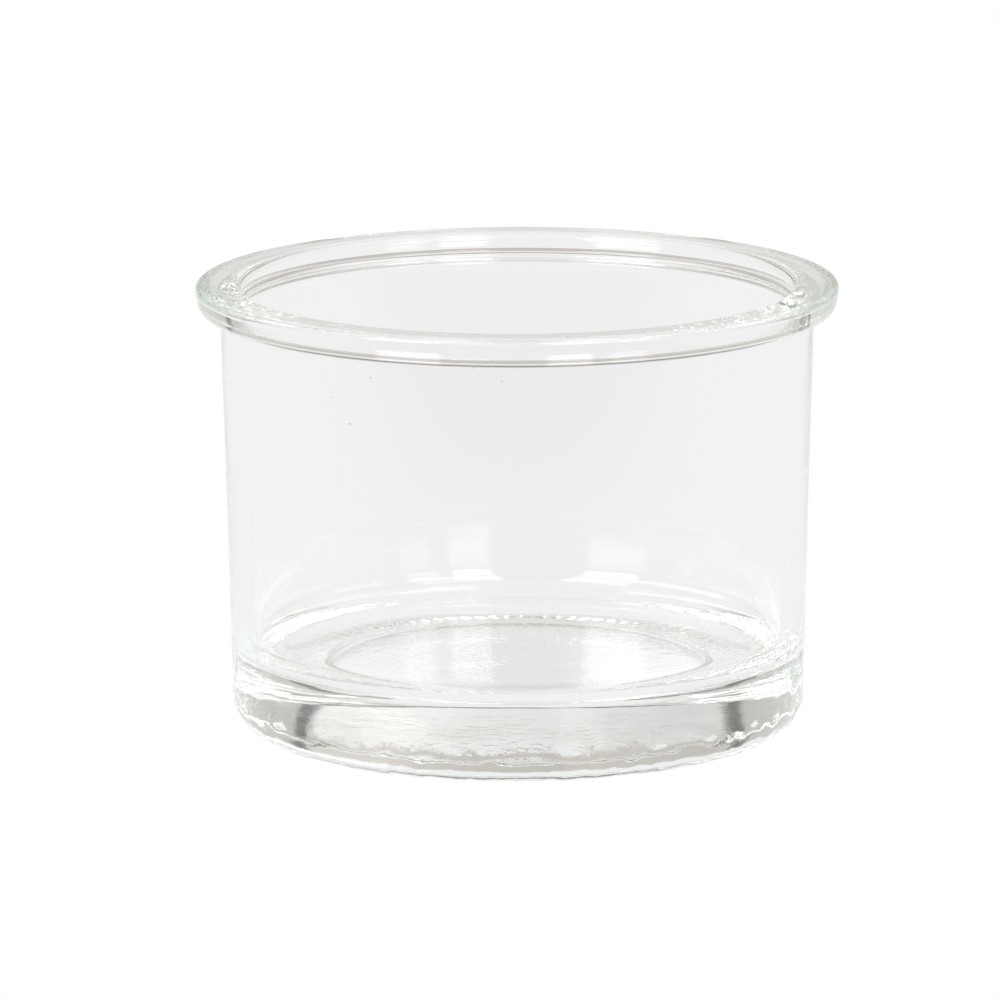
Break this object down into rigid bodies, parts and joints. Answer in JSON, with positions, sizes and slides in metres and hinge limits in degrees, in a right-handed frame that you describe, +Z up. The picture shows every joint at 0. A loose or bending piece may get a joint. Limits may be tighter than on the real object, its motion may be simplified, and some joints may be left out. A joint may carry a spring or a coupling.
{
  "type": "tealight holder",
  "caption": "One-piece clear pressed-glass cup for a tealight, with a flat flange round the rim, a thick base and a knurled standing ring under it.",
  "frame": {"origin": "centre of the foot, on the surface the holder stands on", "axes": "+Z up, out of the mouth of the cup; the holder is round about Z, so X and Y are free"},
  "size_m": [0.0898, 0.0898, 0.0634],
  "materials": {
    "clear_glass": "fire-polished clear soda-lime glass with a faint green tint"
  },
  "bodies": {
    "root": {"glass_body": "clear_glass"}
  },
  "joints": []
}
